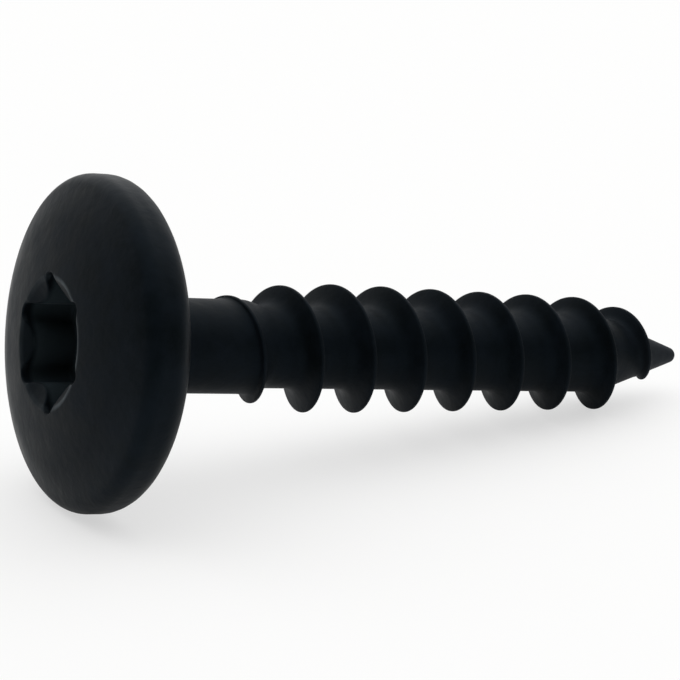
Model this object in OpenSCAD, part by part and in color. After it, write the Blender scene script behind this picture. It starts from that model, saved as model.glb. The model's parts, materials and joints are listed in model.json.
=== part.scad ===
/* [Head] */
// Diameter of the head
head_d = 9.6; // [8.6:0.1:11]
// Height of the domed head above its seat
head_h = 2.4; // [2.2:0.1:2.8]
// Height of the head's edge, at the foot of the dome
rim_h = 1.55; // [1.3:0.05:1.7]
// Rounding of the edge where it meets the dome
rim_upper_r = 0.5; // [0.2:0.05:0.6]
// Rounding of the edge where it meets the seat
rim_lower_r = 0.7; // [0.3:0.05:0.8]
// Fillet between the seat and the shank
neck_fillet_r = 0.2; // [0.1:0.05:0.4]

/* [Drive recess] */
// Size across two opposite lobes
recess_d = 3.95; // [3.4:0.05:4.4]
// Size across two opposite flutes
recess_inner_d = 2.85; // [2.7:0.05:3]
// Radius at the tip of each lobe
lobe_tip_r = 0.32; // [0.25:0.01:0.36]
// Depth of the six-lobe walls, from the mouth
recess_depth = 1.6; // [1.2:0.05:1.7]
// Depth of the cone at the bottom
recess_cone_h = 0.45; // [0.3:0.05:0.6]
// Width of the bevel on the teeth between the lobes
mouth_d = 3.65; // [3.3:0.05:4.6]
// Angle of the bevel, from side to side
mouth_angle = 120; // [100:5:140]

/* [Shank] */
// Length from the seat to the tip
screw_length = 19.7; // [16:0.1:40]
// Diameter of the plain shank
shank_d = 2.75; // [2.5:0.05:3]
// Length of the plain shank
shank_length = 4; // [3:0.1:5]
// Length of the cone from the shank to the core
shoulder_length = 0.5; // [0.2:0.1:1]

/* [Thread] */
// Diameter over the thread
thread_d = 3.8; // [3.4:0.05:4.2]
// Diameter of the core
core_d = 2.4; // [2:0.05:2.6]
// Distance from one turn to the next
pitch = 1.76; // [1.5:0.01:2.4]
// Where the ridge starts, from the seat
thread_start = 1.8; // [1.6:0.1:2.6]
// Turns over which the ridge rises to its height
rise_turns = 2.4; // [1:0.1:4]
// How far short of the tip the ridge ends
thread_stop = 0.7; // [0.5:0.05:1.2]
// Turns over which the ridge sinks into the core at its end
fade_turns = 0.6; // [0.4:0.1:1.5]
// Angle of each flank, from square to the axis
flank_angle = 20; // [15:1:30]
// Width of the flat crest
crest_w = 0.1; // [0.06:0.01:0.2]
// How much lower the crest is at the tip than on the shank
crest_drop = 0.22; // [0:0.01:0.4]
// Where the crest begins to drop, from the seat
drop_start = 8; // [6:0.5:12]
// Turn of the ridge's start from a lobe of the recess
thread_angle = 35; // [0:1:359]

/* [Point] */
// Length of the core's cone
point_length = 3.1; // [2.5:0.05:4.5]
// Length of the cone that the crest runs down
crest_point_length = 2.6; // [2.2:0.05:4]
// Rounding of the tip
tip_r = 0.25; // [0.1:0.01:0.3]

/* [Rest] */
// Turn of the screw about its own axis as it lies
roll_angle = 165; // [0:1:359]

/* [Hidden] */
$fn = 96;
body_color = "#22282a";

head_r = head_d / 2;
shank_r = shank_d / 2;
core_r = core_d / 2;
thread_r = thread_d / 2;
overlap = 0.3;

// Dome: a sphere that runs tangent into the rim's upper rounding
rim_x = head_r - rim_upper_r;
rim_y = rim_h - rim_upper_r;
dome_foot = head_h - rim_y;
dome_r = (rim_x ^ 2 + dome_foot ^ 2 - rim_upper_r ^ 2) / (2 * (dome_foot - rim_upper_r));
dome_y = head_h - dome_r;
dome_edge_x = rim_x * dome_r / (dome_r - rim_upper_r);

// Recess: lobe arcs and flute arcs that run into each other, with a lap so small that they look tangent
lobes = 6;
half_step = 180 / lobes;
arc_lap = 0.005;
lobe_c = recess_d / 2 - lobe_tip_r;
flute_r0 = recess_inner_d / 2;
reach_r = lobe_tip_r - arc_lap;
flute_r = (reach_r ^ 2 - lobe_c ^ 2 - flute_r0 ^ 2 + 2 * lobe_c * flute_r0 * cos(half_step))
    / (2 * (flute_r0 - lobe_c * cos(half_step) - reach_r));
flute_c = flute_r0 + flute_r;
lobe_mid = [lobe_c, 0];
flute_mid = flute_c * [cos(half_step), sin(half_step)];
touch = lobe_mid + (flute_mid - lobe_mid) * (lobe_tip_r - arc_lap / 2) / (reach_r + flute_r);
cone_margin = 0.05;
mouth_r = mouth_d / 2;
mouth_y = dome_y + sqrt(dome_r ^ 2 - mouth_r ^ 2);
recess_floor_y = mouth_y - recess_depth;

// Point: a cone that runs tangent into the rounded tip
cone_run = point_length - tip_r;
cone_angle = acos(tip_r / norm([core_r, cone_run])) - atan2(cone_run, core_r);
cone_start = screw_length - point_length;

// Thread: stations along the helix
steps_per_turn = 36;
bury = 0.08;
least_ridge = 0.02;
thread_end = screw_length - thread_stop;
turns = (thread_end - thread_start) / pitch;
steps = ceil(turns * steps_per_turn);
crest_half = crest_w / 2;

function along(a, b, x) = min(1, max(0, (x - a) / (b - a)));
function station(i) = thread_start + (thread_end - thread_start) * i / steps;
function ridge_angle(i) = thread_angle + 360 * turns * i / steps;
function core_at(z) = z < cone_start
    ? shank_r + (core_r - shank_r) * along(shank_length, shank_length + shoulder_length, z)
    : core_r - (z - cone_start) * tan(cone_angle);
function full_crest(z) = (thread_r - crest_drop * along(drop_start, screw_length, z))
    * min(1, (screw_length - z) / crest_point_length);
function rise(i) = (1 - cos(180 * min(1, turns * i / steps / rise_turns))) / 2;
function fade(i) = min(1, turns * (1 - i / steps) / fade_turns);
function foot_r(i) = core_at(station(i)) - bury;
function crest_r(i) = foot_r(i)
    + max(least_ridge, (full_crest(station(i)) - foot_r(i)) * rise(i) * fade(i));
function foot_half(i) = crest_half + (crest_r(i) - foot_r(i)) * tan(flank_angle);
function on_ridge(r, a, z) = [r * cos(a), r * sin(a), z];

// Rest: the screw leans on its rim and on the lowest of its crests, at a dip found by halving
steepest = 40;
halvings = 24;
rim_low_r = head_r - rim_lower_r;
function rim_depth(dip) = rim_low_r * cos(dip) - rim_lower_r * sin(dip) + rim_lower_r;
function crest_depth(dip) = max([for (i = [0 : steps])
    crest_r(i) * cos(ridge_angle(i) + roll_angle) * cos(dip) + (station(i) + crest_half) * sin(dip)]);
function rest_dip(low, high, n) = let (mid = (low + high) / 2) n == 0 ? mid
    : crest_depth(mid) > rim_depth(mid) ? rest_dip(low, mid, n - 1) : rest_dip(mid, high, n - 1);
dip = rest_dip(0, steepest, halvings);
head_end_x = dome_y * cos(dip) + dome_r;
tip_end_x = (screw_length - tip_r) * cos(dip) + tip_r;

module head_profile() {
    intersection() {
        translate([0, dome_y]) circle(r = dome_r, $fn = 360);
        square([dome_edge_x, head_h]);
    }
    translate([rim_x, rim_y]) circle(r = rim_upper_r);
    translate([rim_low_r, rim_lower_r]) circle(r = rim_lower_r);
    translate([0, rim_lower_r]) square([head_r, rim_y - rim_lower_r]);
    square([rim_low_r, rim_lower_r]);
}

module recess_profile() {
    difference() {
        union() {
            circle(r = norm(touch));
            for (k = [0 : lobes - 1])
                rotate(2 * half_step * k) translate(lobe_mid) circle(r = lobe_tip_r);
        }
        for (k = [0 : lobes - 1])
            rotate(2 * half_step * k) translate(flute_mid) circle(r = flute_r);
    }
}

module drive_recess() {
    translate([0, 0, recess_floor_y]) linear_extrude(recess_depth + overlap) recess_profile();
    translate([0, 0, recess_floor_y - recess_cone_h])
        cylinder(r1 = 0, r2 = flute_r0 - cone_margin, h = recess_cone_h);
    bevel_h = mouth_r / tan(mouth_angle / 2);
    above = overlap / tan(mouth_angle / 2);
    translate([0, 0, mouth_y - bevel_h])
        cylinder(r1 = 0, r2 = mouth_r + overlap, h = bevel_h + above);
}

module head() {
    color(body_color) rotate_extrude() head_profile();
}

module shank() {
    color(body_color) rotate_extrude() {
        translate([0, -overlap]) square([shank_r, shank_length + overlap]);
        difference() {
            translate([0, -overlap]) square([shank_r + neck_fillet_r, neck_fillet_r + overlap]);
            translate([shank_r + neck_fillet_r, neck_fillet_r]) circle(r = neck_fillet_r);
        }
    }
}

module core() {
    color(body_color) rotate_extrude() {
        polygon([
            [0, shank_length],
            [shank_r, shank_length],
            [core_r, shank_length + shoulder_length],
            [core_r, cone_start],
            [tip_r * cos(cone_angle), screw_length - tip_r + tip_r * sin(cone_angle)],
            [0, screw_length - tip_r],
        ]);
        translate([0, screw_length - tip_r]) intersection() {
            circle(r = tip_r);
            translate([0, -tip_r]) square(2 * tip_r);
        }
    }
}

module thread_ridge() {
    rings = [for (i = [0 : steps]) let (a = ridge_angle(i), z = station(i)) each [
        on_ridge(foot_r(i), a, z - foot_half(i)),
        on_ridge(crest_r(i), a, z - crest_half),
        on_ridge(crest_r(i), a, z + crest_half),
        on_ridge(foot_r(i), a, z + foot_half(i)),
    ]];
    sides = [for (i = [0 : steps - 1], k = [0 : 3]) let (
        p = 4 * i + k, q = 4 * i + (k + 1) % 4) each [[p, q, q + 4], [p, q + 4, p + 4]]];
    last = 4 * steps;
    color(body_color)
        polyhedron(points = rings, faces = concat(sides, [[3, 2, 1, 0], [last, last + 1, last + 2, last + 3]]));
}

module screw() {
    translate([-(tip_end_x - head_end_x) / 2, 0, rim_depth(dip)])
        rotate([0, 90 + dip, 0]) rotate([0, 0, roll_angle]) {
            difference() {
                union() {
                    mirror([0, 0, 1]) head();
                    shank();
                    core();
                }
                mirror([0, 0, 1]) drive_recess();
            }
            thread_ridge();
        }
}

screw();
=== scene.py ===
import json
import math

import bmesh
import bpy
from mathutils import Matrix


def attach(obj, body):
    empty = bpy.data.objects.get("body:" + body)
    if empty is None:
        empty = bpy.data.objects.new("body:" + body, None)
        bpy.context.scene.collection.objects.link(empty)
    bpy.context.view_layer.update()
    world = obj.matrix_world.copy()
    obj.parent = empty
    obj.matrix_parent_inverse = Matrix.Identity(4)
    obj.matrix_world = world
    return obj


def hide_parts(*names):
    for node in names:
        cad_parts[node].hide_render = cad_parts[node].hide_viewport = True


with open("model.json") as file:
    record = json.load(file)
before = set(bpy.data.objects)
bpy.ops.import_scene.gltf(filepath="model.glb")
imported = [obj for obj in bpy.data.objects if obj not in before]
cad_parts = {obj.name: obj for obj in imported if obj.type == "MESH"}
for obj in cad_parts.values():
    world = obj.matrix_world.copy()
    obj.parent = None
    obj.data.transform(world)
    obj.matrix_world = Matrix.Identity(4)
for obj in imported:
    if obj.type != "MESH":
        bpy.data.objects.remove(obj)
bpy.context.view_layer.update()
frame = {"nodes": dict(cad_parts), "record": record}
print("frame loaded, nodes:", sorted(frame["nodes"]))


def sRgb(text):  # "#rrggbb" to linear RGBA
    parts = [int(text[i:i + 2], 16) / 255 for i in (1, 3, 5)]
    return [c / 12.92 if c <= 0.04045 else ((c + 0.055) / 1.055) ** 2.4 for c in parts] + [1]


# an input goes by its name, or by its number where several have the same name
def addNode(tree, kind, settings=None, links=None):
    node = tree.nodes.new(kind)
    for name, value in (settings or {}).items():
        if isinstance(name, int) or name in node.inputs:
            node.inputs[name].default_value = value
        else:
            setattr(node, name, value)
    for name, source in (links or {}).items():
        tree.links.new(source, node.inputs[name])
    return node


def addObject(name, data):
    made = bpy.data.objects.new(name, data)
    bpy.context.scene.collection.objects.link(made)
    return made


def addPiece(name, mesh):
    data = bpy.data.meshes.new(name)
    mesh.to_mesh(data)
    mesh.free()
    return addObject(name, data)


# the screw is worked out in millimetres, with its seat at z = 0 and the thread towards +z. Then it is laid on
# its rim and on one crest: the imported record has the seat's place and the thread's direction
millimetre = 0.001
seat = next(mount for mount in frame["record"]["mounts"] if mount["name"] == "head_seat")
dip = math.asin(-seat["axis"][2])
roll = math.radians(165)  # about the screw's own axis
lying = (Matrix.Translation(seat["pos_m"]) @ Matrix.Rotation(math.pi / 2 + dip, 4, "Y")
         @ Matrix.Rotation(roll, 4, "Z") @ Matrix.Scale(millimetre, 4))

mergeWithin = 0.0005  # these three in the screw's own millimetres
snapWithin = 0.0001
loopWithin = 0.001
mostCut = 0.45  # of a side, so that one rounded at both ends keeps a tenth straight
creaseAngle = 50  # degrees, above which an edge stays sharp


def arc(centre, radius, first, last, count):  # angles in degrees from +x
    angles = [math.radians(first + (last - first) * i / count) for i in range(count + 1)]
    return [(centre[0] + radius * math.cos(a), centre[1] + radius * math.sin(a)) for a in angles]


def between(a, b, count):
    return [(a[0] + (b[0] - a[0]) * i / count, a[1] + (b[1] - a[1]) * i / count) for i in range(1, count)]


def softCorner(before, corner, after, cut, count):  # a rounded corner, cut back along both sides
    arms = []
    for other in (before, after):
        reach = math.dist(corner, other)
        share = min(cut, mostCut * reach) / reach
        arms.append([corner[k] + (other[k] - corner[k]) * share for k in (0, 1)])
    points = []
    for i in range(count + 1):
        t = i / count
        weights = (1 - t) ** 2, 2 * t * (1 - t), t * t
        points.append([sum(w * p[k] for w, p in zip(weights, (arms[0], corner, arms[1]))) for k in (0, 1)])
    return points


def clamp(value):
    return min(1.0, max(0.0, value))


head = {
    "width": 9.594,  # this and the height are a hair under the CAD's, to stay inside its facets
    "height": 2.397,
    "rimHeight": 1.55,
    "upperRounding": 0.5,
    "lowerRounding": 0.7,
    "neckFillet": 0.2,
    "sides": 300,
    "rows": {  # of faces, from the middle of the recess to the neck
        "cone": 6,
        "floor": 3,
        "foot": 3,
        "wall": 6,
        "edge": 4,
        "bevel": 3,
        "lip": 2,
        "dome": 24,
        "upperRounding": 7,
        "rim": 3,
        "lowerRounding": 8,
        "seat": 5,
        "neckFillet": 6,
        "neck": 2,
    },
}

recess = {
    "acrossLobes": 3.95,
    "acrossFlutes": 2.85,
    "lobes": 6,
    "lobeTip": 0.32,
    "arcLap": 0.005,  # so small that the arcs of lobes and flutes look tangent
    "wallDepth": 1.6,
    "coneDepth": 0.45,
    "coneMargin": 0.05,
    "bevelWidth": 3.75,
    "bevelAngle": 120,
    "footRounding": 0.1,
    "edgeRounding": 0.07,
    "leastLip": 0.12,  # from the wall to the lip, where the dome begins
    "lipRounding": 0.045,
    "lipReach": 0.1,  # how far along the dome that rounding looks
}

shank = {
    "width": 2.75,
    "length": 4.0,
    "shoulder": 0.5,
    "shoulderRounding": 0.15,
    "headEnds": 0.5,  # the head's mesh is bridged to the thread's between these two
    "threadBegins": 0.7,
}

# the dome is a sphere that runs tangent into the rim's upper rounding
rimX = head["width"] / 2 - head["upperRounding"]
rimY = head["rimHeight"] - head["upperRounding"]
domeRise = head["height"] - rimY
domeR = (rimX ** 2 + domeRise ** 2 - head["upperRounding"] ** 2) / (2 * (domeRise - head["upperRounding"]))
domeY = head["height"] - domeR


def domeAt(radius):
    return domeY + math.sqrt(domeR ** 2 - radius ** 2)


def lobeRadius(angle):  # the six-lobe outline in a direction, in radians from a lobe
    step = math.pi / recess["lobes"]
    tip = recess["lobeTip"]
    reach = tip - recess["arcLap"]
    lobeX = recess["acrossLobes"] / 2 - tip  # how far out the lobe arc's centre is
    near = recess["acrossFlutes"] / 2
    inward = lobeX * math.cos(step)
    fluteR = (reach ** 2 - lobeX ** 2 - near ** 2 + 2 * inward * near) / (2 * (near - inward - reach))
    fluteX = near + fluteR  # and the flute arc's

    fold = abs((angle + step) % (2 * step) - step)
    radius = math.inf
    sine = lobeX * math.sin(fold)
    if sine < tip:
        radius = lobeX * math.cos(fold) + math.sqrt(tip ** 2 - sine ** 2)
    sine = fluteX * math.sin(step - fold)
    if sine < fluteR:
        radius = min(radius, fluteX * math.cos(step - fold) - math.sqrt(fluteR ** 2 - sine ** 2))
    return radius


def headSection(wallR):  # (radius, height) from the middle of the recess, over a wall at wallR, to the neck
    rows = head["rows"]
    bevelR = recess["bevelWidth"] / 2
    floorY = domeAt(bevelR) - recess["wallDepth"]
    slope = 1 / math.tan(math.radians(recess["bevelAngle"] / 2))
    topY = domeAt(wallR) if wallR > bevelR else domeAt(bevelR) - (bevelR - wallR) * slope
    lipX = max(bevelR, wallR + recess["leastLip"])
    onwardX = lipX + recess["lipReach"]

    middle = (0, floorY - recess["coneDepth"])
    flat = (recess["acrossFlutes"] / 2 - recess["coneMargin"], floorY)
    wallFoot, wallTop = (wallR, floorY), (wallR, topY)
    lip, onward = (lipX, domeAt(lipX)), (onwardX, domeAt(onwardX))
    foot = softCorner(flat, wallFoot, wallTop, recess["footRounding"], rows["foot"])
    edge = softCorner(wallFoot, wallTop, lip, recess["edgeRounding"], rows["edge"])
    lipEnd = softCorner(edge[-1], lip, onward, recess["lipRounding"], rows["lip"])
    points = [middle] + between(middle, flat, rows["cone"]) + [flat]
    points += between(flat, foot[0], rows["floor"]) + foot
    points += between(foot[-1], edge[0], rows["wall"]) + edge
    points += between(edge[-1], lipEnd[0], rows["bevel"]) + lipEnd

    first = math.degrees(math.asin(lipEnd[-1][0] / domeR))
    last = math.degrees(math.asin(rimX / (domeR - head["upperRounding"])))
    points += arc((0, domeY), domeR, 90 - first, 90 - last, rows["dome"])[1:]
    points += arc((rimX, rimY), head["upperRounding"], 90 - last, 0, rows["upperRounding"])[1:]
    headR, lowR = head["width"] / 2, head["lowerRounding"]
    points += between((headR, rimY), (headR, lowR), rows["rim"])
    points += arc((headR - lowR, lowR), lowR, 0, -90, rows["lowerRounding"])

    shankR, fillet = shank["width"] / 2, head["neckFillet"]
    points += between((headR - lowR, 0), (shankR + fillet, 0), rows["seat"])
    points += arc((shankR + fillet, -fillet), fillet, 90, 180, rows["neckFillet"])
    end = (shankR, -shank["headEnds"])
    return points + between(points[-1], end, rows["neck"]) + [end]


def makeHead(mesh, ring):
    outline = headSection((recess["acrossLobes"] + recess["acrossFlutes"]) / 4)
    verts = [mesh.verts.new((x, 0, -y)) for x, y in outline]
    for i, v in enumerate(verts):
        v[ring] = i + 1
    edges = [mesh.edges.new(pair) for pair in zip(verts, verts[1:])]
    bmesh.ops.spin(mesh, geom=verts + edges, cent=(0, 0, 0), axis=(0, 0, 1), dvec=(0, 0, 0),
                   angle=math.tau, steps=head["sides"], use_merge=True, use_duplicate=False)
    turned = [v for v in mesh.verts if v[ring]]
    bmesh.ops.remove_doubles(mesh, verts=turned, dist=mergeWithin)
    sections = {}
    for v in (v for v in mesh.verts if v[ring]):  # the spun wall becomes six-lobed
        side = round(math.atan2(v.co.y, v.co.x) / math.tau * head["sides"]) % head["sides"]
        angle = side / head["sides"] * math.tau
        if side not in sections:
            sections[side] = headSection(lobeRadius(angle))
        radius, height = sections[side][v[ring] - 1]
        v.co = (radius * math.cos(angle), radius * math.sin(angle), -height)


thread = {
    "length": 19.7,
    "width": 3.8,
    "coreWidth": 2.4,
    "pitch": 1.76,
    "start": 1.8,
    "riseTurns": 2.4,
    "stop": 0.7,
    "fadeTurns": 0.6,
    "flankAngle": 20,
    "crestWidth": 0.1,
    "crestDrop": 0.22,
    "dropStart": 8.0,
    "turnedBy": 35,
    "pointLength": 3.1,
    "crestPointLength": 2.6,
    "tipRadius": 0.25,
    "rootFillet": 0.32,
    "crestRounding": 0.04,
    "bury": 0.08,  # how far the ridge's foot is under the core
    "leastRidge": 0.02,
    "leastFlank": 0.04,
    "leastCore": 0.01,
    "turnsBefore": 1.3,  # the strip of surface is wound longer than the ridge and cut off at both ends
    "turnsAfter": 0.6,
    "rowsPerTurn": 120,
    "spans": [5, 3, 1, 3, 5],  # faces across the root, the flank, the crest, the flank and the root
    "cornerFaces": 4,
    "tipRings": 6,
    "lastRing": 84,  # degrees up the tip's rounding, before the point that closes it
}

# the point is a cone that runs tangent into the rounded tip
coreR = thread["coreWidth"] / 2
coneRun = thread["pointLength"] - thread["tipRadius"]
coneAngle = math.acos(thread["tipRadius"] / math.hypot(coreR, coneRun)) - math.atan2(coneRun, coreR)


def coreAt(z):  # the core's radius, from the shank over the shoulder to the cone of the point
    start = thread["length"] - thread["pointLength"]
    if z < start:
        shankR, soft = shank["width"] / 2, shank["shoulderRounding"]
        down = clamp((z - shank["length"] + soft) / (shank["shoulder"] + 2 * soft))
        return shankR + (coreR - shankR) * down * down * (3 - 2 * down)
    return max(thread["leastCore"], coreR - (z - start) * math.tan(coneAngle))


def ridgeSection(turn):  # one pitch of the surface as (offset along the axis, radius), from root to root
    pitch, slope = thread["pitch"], math.tan(math.radians(thread["flankAngle"]))
    mid = thread["start"] + pitch * turn
    turns = (thread["length"] - thread["stop"] - thread["start"]) / pitch
    foot = coreAt(mid) - thread["bury"]
    dropped = clamp((mid - thread["dropStart"]) / (thread["length"] - thread["dropStart"]))
    full = thread["width"] / 2 - thread["crestDrop"] * dropped
    full *= clamp((thread["length"] - mid) / thread["crestPointLength"])
    rise = (1 - math.cos(math.pi * clamp(turn / thread["riseTurns"]))) / 2
    fade = clamp((turns - turn) / thread["fadeTurns"])
    crest = foot + max(thread["leastRidge"], (full - foot) * rise * fade)
    crestHalf = thread["crestWidth"] / 2

    corners = []
    for side in (-1, 1):
        base = 3 * crestHalf
        for _ in range(4):  # settles where the flank meets the core
            base = crestHalf + max(thread["leastFlank"], (crest - coreAt(mid + side * base)) * slope)
        root = [(side * x, coreAt(mid + side * x)) for x in (pitch / 2, base)]
        top = max(crest, coreAt(mid + side * crestHalf))
        corners.append(root + [(side * crestHalf, top)])
    line = corners[0] + corners[1][::-1]
    cuts = [0, thread["rootFillet"], thread["crestRounding"]]
    cuts += cuts[::-1]

    points = []
    for i, corner in enumerate(line):
        here = [corner]
        if cuts[i]:
            here = softCorner(line[i - 1], corner, line[i + 1], cuts[i], thread["cornerFaces"])
        if i in (1, 4):  # the fillet's arm along the root is laid on the core
            end = line[0 if i == 1 else 5]
            slant = (end[1] - corner[1]) / (end[0] - corner[0])
            here = [(x, r + coreAt(mid + x) - corner[1] - slant * (x - corner[0]))
                    if abs(x) > abs(corner[0]) else (x, r) for x, r in here]
        if points:
            gap = between(points[-1], here[0], thread["spans"][i - 1])
            if i in (1, 5):  # the root follows the core
                gap = [(x, coreAt(mid + x)) for x, _ in gap]
            points += gap
        points += here
    return mid, points


def makeThread(mesh):
    before, perTurn = thread["turnsBefore"], thread["rowsPerTurn"]
    turns = (thread["length"] - thread["start"]) / thread["pitch"] + before + thread["turnsAfter"]
    rows = round(turns * perTurn)
    sections = [ridgeSection(row / perTurn - before) for row in range(rows + 1)]
    columns = len(sections[0][1]) - 1
    half = 0.5
    grid = bmesh.ops.create_grid(mesh, x_segments=columns, y_segments=rows, size=half)["verts"]
    for v in grid:  # the flat grid becomes a strip that winds round the axis
        column, row = round((v.co.x + half) * columns), round((v.co.y + half) * rows)
        mid, points = sections[row]
        offset, radius = points[column]
        angle = math.tau * (row / perTurn - before) + math.radians(thread["turnedBy"])
        v.co = (radius * math.cos(angle), radius * math.sin(angle), mid + offset)
    bmesh.ops.remove_doubles(mesh, verts=grid, dist=mergeWithin)


def edgeLoop(mesh, z):
    return [e for e in mesh.edges if e.is_boundary and all(abs(v.co.z - z) < loopWithin for v in e.verts)]


def closeTip(mesh, cut):  # rings from the cut along the cone and round the tip
    tip, length = thread["tipRadius"], thread["length"]
    loop = edgeLoop(mesh, cut)
    rings = arc((0, length - tip), tip, math.degrees(coneAngle), thread["lastRing"], thread["tipRings"])
    for radius, z in rings:
        new = bmesh.ops.extrude_edge_only(mesh, edges=loop)["geom"]
        for v in (g for g in new if isinstance(g, bmesh.types.BMVert)):
            size = math.hypot(v.co.x, v.co.y)
            v.co = (v.co.x * radius / size, v.co.y * radius / size, z)
        loop = [g for g in new if isinstance(g, bmesh.types.BMEdge)]
    last = list({v for e in loop for v in e.verts})
    bmesh.ops.pointmerge(mesh, verts=last, merge_co=(0, 0, length))


def makeScrew():
    mesh = bmesh.new()
    ring = mesh.verts.layers.int.new("ring")
    makeThread(mesh)
    tipCut = thread["length"] - 2 * thread["tipRadius"]
    for z, outer in ((shank["threadBegins"], False), (tipCut, True)):
        everything = mesh.verts[:] + mesh.edges[:] + mesh.faces[:]
        bmesh.ops.bisect_plane(mesh, geom=everything, dist=snapWithin, plane_co=(0, 0, z), plane_no=(0, 0, 1),
                               clear_outer=outer, clear_inner=not outer)
    closeTip(mesh, tipCut)
    makeHead(mesh, ring)
    ends = edgeLoop(mesh, shank["headEnds"]) + edgeLoop(mesh, shank["threadBegins"])
    bmesh.ops.bridge_loops(mesh, edges=ends)
    bmesh.ops.recalc_face_normals(mesh, faces=mesh.faces)
    bmesh.ops.transform(mesh, matrix=lying, verts=mesh.verts)
    for face in mesh.faces:
        face.smooth = True
    openEdges = sum(not e.is_manifold for e in mesh.edges)
    mesh.verts.layers.int.remove(ring)
    body = addPiece("screwBody", mesh)
    body.data.set_sharp_from_angle(angle=math.radians(creaseAngle))
    print("screw made:", len(body.data.polygons), "faces,", openEdges, "open edges")
    return body


# Black coat on hardened steel, baked on over zinc phosphate: nearly black with a cool sheen, mottled and
# finely grained from the phosphate below. It is smoother on the head's rim than elsewhere. Its colour also
# holds painted light: a painted highlight on the bevels round the recess's mouth, more on one side,
# painted light that makes the inside of the recess greyer, and a painted highlight that makes the point
# greyer
coat = {
    "shades": [(0.35, "#070b0d"), (0.65, "#0d1217")],  # along the mottle
    # colours of painted light: a highlight on the mouth's bevels, light inside the recess, a highlight at the
    # point
    "paintedMouthHighlight": "#454c50",
    "paintedRecessLight": "#2a3236",
    "paintedPointHighlight": "#202327",
    "tint": "#c4e4ff",
    "ior": 1.18,  # such a coat's own is near 1.5, but this one hardly mirrors the room
    "patterns": {  # millimetres across, and the noise's detail and roughness
        "mottle": (0.91, 4, 0.6),
        "grain": (0.125, 3, 0.6),  # the real phosphate's is about a tenth of this, too fine to show
        "dents": (0.385, 2, 0.5),
    },
    "grainBump": {"Strength": 0.15, "Distance": 0.00001},  # metres
    "dentsBump": {"Strength": 0.5, "Distance": 0.00003},
    # how much of each there is, from bands that are multiplied or added: what is measured, in millimetres or
    # as a pattern, from where to where, and what the band is at each
    "bands": {
        # painted highlight on the bevels round the recess's mouth, as a paler colour
        "paintedMouthHighlight": ("MULTIPLY", [
            ("across", 1.74, 1.82, 0, 1),
            ("across", 1.96, 1.89, 0, 1),
            ("along", -2.05, -2.12, 0, 1),  # not down the walls of the recess
            ("sideways", -0.6, 0.9, 0.2, 1),  # stronger on one side, for the painted highlight there
            ("dents", 0.35, 0.6, 0.4, 0.8),
        ]),
        # painted light inside the recess, as a greyer colour that lifts its shade
        "paintedRecessLight": ("MULTIPLY", [
            ("across", 2.06, 2.0, 0, 1),
            ("along", -2.02, -1.85, 0, 1),  # below the mouth
            ("along", 0, -0.1, 0, 1),  # not on the shank
        ]),
        # painted highlight at the point, as a greyer colour
        "paintedPointHighlight": ("MULTIPLY", [("along", 17.2, 18.8, 0, 0.8)]),
        "roughness": ("ADD", [
            ("across", 3.5, 4.3, 0.56, 0.42),
            ("mottle", 0.3, 0.7, -0.05, 0.05),
        ]),
    },
}


def blackBakedCoat():
    material = bpy.data.materials.new("blackBakedCoat")
    material.use_nodes = True
    tree = material.node_tree
    shader = tree.nodes["Principled BSDF"]
    shader.inputs["IOR"].default_value = coat["ior"]
    shader.inputs["Specular Tint"].default_value = sRgb(coat["tint"])

    # millimetres from the seat, with the thread towards +z
    back = lying.inverted()
    place = addNode(tree, "ShaderNodeTexCoord").outputs["Object"]
    settings = {"Location": back.translation, "Rotation": back.to_euler(), "Scale": back.to_scale()}
    own = addNode(tree, "ShaderNodeMapping", settings, {"Vector": place}).outputs["Vector"]
    parts = addNode(tree, "ShaderNodeSeparateXYZ", links={"Vector": own}).outputs
    flat = addNode(tree, "ShaderNodeVectorMath", {"operation": "MULTIPLY", 1: (1, 1, 0)}, {0: own})
    across = addNode(tree, "ShaderNodeVectorMath", {"operation": "LENGTH"}, {0: flat.outputs["Vector"]})
    measures = {"across": across.outputs["Value"], "along": parts["Z"], "sideways": parts["Y"]}
    for name, (size, detail, roughness) in coat["patterns"].items():
        settings = {"Scale": 1 / size, "Detail": detail, "Roughness": roughness}
        measures[name] = addNode(tree, "ShaderNodeTexNoise", settings, {"Vector": own}).outputs["Fac"]

    amounts = {}
    for name, (operation, bands) in coat["bands"].items():
        for measure, start, end, low, high in bands:
            settings = {"From Min": start, "From Max": end, "To Min": low, "To Max": high}
            band = addNode(tree, "ShaderNodeMapRange", settings, {"Value": measures[measure]})
            amount = band.outputs["Result"]
            if name in amounts:
                both = {0: amounts[name], 1: amount}
                amount = addNode(tree, "ShaderNodeMath", {"operation": operation}, both).outputs["Value"]
            amounts[name] = amount

    shade = addNode(tree, "ShaderNodeValToRGB", links={"Fac": measures["mottle"]})
    for stop, (position, tone) in zip(shade.color_ramp.elements, coat["shades"]):
        stop.position = position
        stop.color = sRgb(tone)
    colour = shade.outputs["Color"]
    # the three painted lights are mixed into the coat's colour
    for paintedLight in ("paintedMouthHighlight", "paintedRecessLight", "paintedPointHighlight"):  # the Mix node's colours: inputs 6 and 7, output 2
        settings = {"data_type": "RGBA", 7: sRgb(coat[paintedLight])}
        colour = addNode(tree, "ShaderNodeMix", settings, {"Factor": amounts[paintedLight], 6: colour}).outputs[2]
    tree.links.new(colour, shader.inputs["Base Color"])
    tree.links.new(amounts["roughness"], shader.inputs["Roughness"])

    grained = addNode(tree, "ShaderNodeBump", coat["grainBump"], {"Height": measures["grain"]})
    dented = addNode(tree, "ShaderNodeBump", coat["dentsBump"],
                     {"Height": measures["dents"], "Normal": grained.outputs["Normal"]})
    tree.links.new(dented.outputs["Normal"], shader.inputs["Normal"])
    return material


screwBody = makeScrew()
screwBody.data.materials.append(blackBakedCoat())
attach(screwBody, "root")
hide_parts("screw")
print("coat made:", [material.name for material in screwBody.data.materials])

glossyWhite = 0.2  # share of plain white that glossy rays see in the floor and the room


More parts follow.
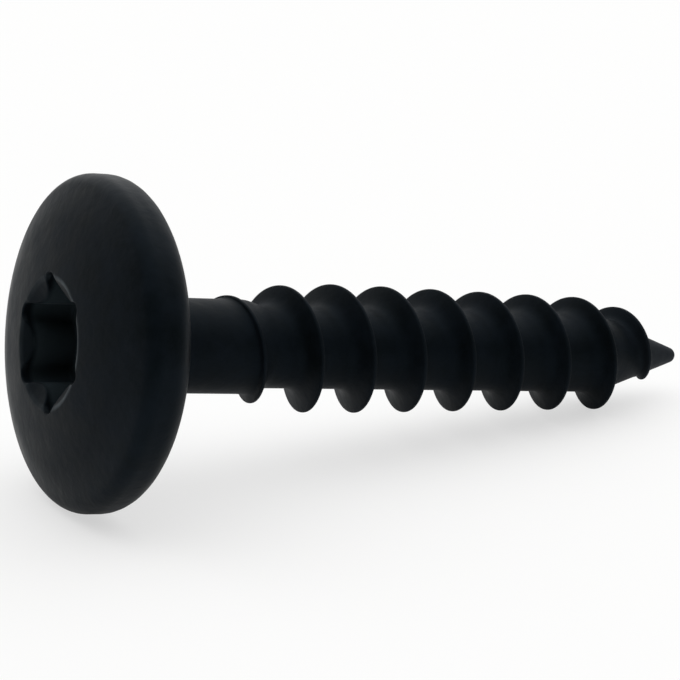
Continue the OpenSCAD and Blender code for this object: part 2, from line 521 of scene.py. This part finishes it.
# how much plain white a ray sees in the floor or the room: diffuse rays see none
def whiteShare(tree, cameraWhite):
    rays = addNode(tree, "ShaderNodeLightPath").outputs
    glossy = addNode(tree, "ShaderNodeMath", {"operation": "MULTIPLY", 1: glossyWhite},
                     {0: rays["Is Glossy Ray"]})
    share = addNode(tree, "ShaderNodeMath", {"operation": "MULTIPLY_ADD", 1: cameraWhite},
                    {0: rays["Is Camera Ray"], 2: glossy.outputs["Value"]})
    return share.outputs["Value"]


# Matt white paper: nearly white all over, so that it shows only the screw's soft shadow. The camera also sees
# a share of plain white in it, which lightens the shadow
paper = {
    "colour": "#f9f9f8",
    "roughness": 0.9,
    "ior": 1.2,
    "cameraWhite": 0.6,
    "halfWidth": 1,  # metre
}


def whitePaper():
    material = bpy.data.materials.new("whitePaper")
    material.use_nodes = True
    tree = material.node_tree
    shader = tree.nodes["Principled BSDF"]
    shader.inputs["Base Color"].default_value = sRgb(paper["colour"])
    shader.inputs["Roughness"].default_value = paper["roughness"]
    shader.inputs["IOR"].default_value = paper["ior"]
    glow = addNode(tree, "ShaderNodeEmission", {"Strength": 1.0})
    share = whiteShare(tree, paper["cameraWhite"])
    both = {"Fac": share, 1: shader.outputs["BSDF"], 2: glow.outputs["Emission"]}
    mix = addNode(tree, "ShaderNodeMixShader", links=both)
    tree.links.new(mix.outputs["Shader"], tree.nodes["Material Output"].inputs["Surface"])
    return material


floorMesh = bmesh.new()
bmesh.ops.create_grid(floorMesh, x_segments=1, y_segments=1, size=paper["halfWidth"])
floor = addPiece("floor", floorMesh)
floor.data.materials.append(whitePaper())
print("floor made")

# one soft light from overhead that leans to the back, over a dark room
light = {
    "towards": (0.225, 0.394, 0.891),
    "strength": 1.6,
    "stops": [(0.2, "#000000"), (0.8, "#ffffff")],  # along the cosine of the angle from the light's middle
    "cameraWhite": 1.0,  # so that a low view sees plain white beyond the floor
}


def studioWorld():
    world = bpy.data.worlds.new("studio")
    world.use_nodes = True
    tree = world.node_tree
    direction = addNode(tree, "ShaderNodeTexCoord").outputs["Generated"]
    facing = addNode(tree, "ShaderNodeVectorMath", {"operation": "DOT_PRODUCT", 1: light["towards"]},
                     {0: direction})
    ramp = addNode(tree, "ShaderNodeValToRGB", links={"Fac": facing.outputs["Value"]})
    for stop, (position, tone) in zip(ramp.color_ramp.elements, light["stops"]):
        stop.position = position
        stop.color = sRgb(tone)
    lamp = tree.nodes["Background"]
    lamp.inputs["Strength"].default_value = light["strength"]
    tree.links.new(ramp.outputs["Color"], lamp.inputs["Color"])
    white = addNode(tree, "ShaderNodeBackground", {"Color": sRgb("#ffffff"), "Strength": 1.0})
    share = whiteShare(tree, light["cameraWhite"])
    both = {"Fac": share, 1: lamp.outputs["Background"], 2: white.outputs["Background"]}
    mix = addNode(tree, "ShaderNodeMixShader", links=both)
    tree.links.new(mix.outputs["Shader"], tree.nodes["World Output"].inputs["Surface"])
    return world


bpy.context.scene.world = studioWorld()
bpy.context.scene.view_settings.view_transform = "Standard"
print("light made")

# a long lens, a little above and from the head's side, in metres, degrees and millimetres
camera = {
    "place": (-0.041440, -0.070503, 0.029388),
    "turn": 29.6877,
    "down": 17.6179,
    "lens": 152.206,
    "sensor": 36,
    "nearest": 0.001,
    "farthest": 10,
}
cameraData = bpy.data.cameras.new("camera")
cameraData.lens = camera["lens"]
cameraData.sensor_width = camera["sensor"]
cameraData.clip_start = camera["nearest"]
cameraData.clip_end = camera["farthest"]
cameraObject = addObject("camera", cameraData)
cameraObject.matrix_world = (Matrix.Translation(camera["place"])
                             @ Matrix.Rotation(-math.radians(camera["turn"]), 4, "Z")
                             @ Matrix.Rotation(math.radians(90 - camera["down"]), 4, "X"))
bpy.context.scene.camera = cameraObject
print("camera placed")
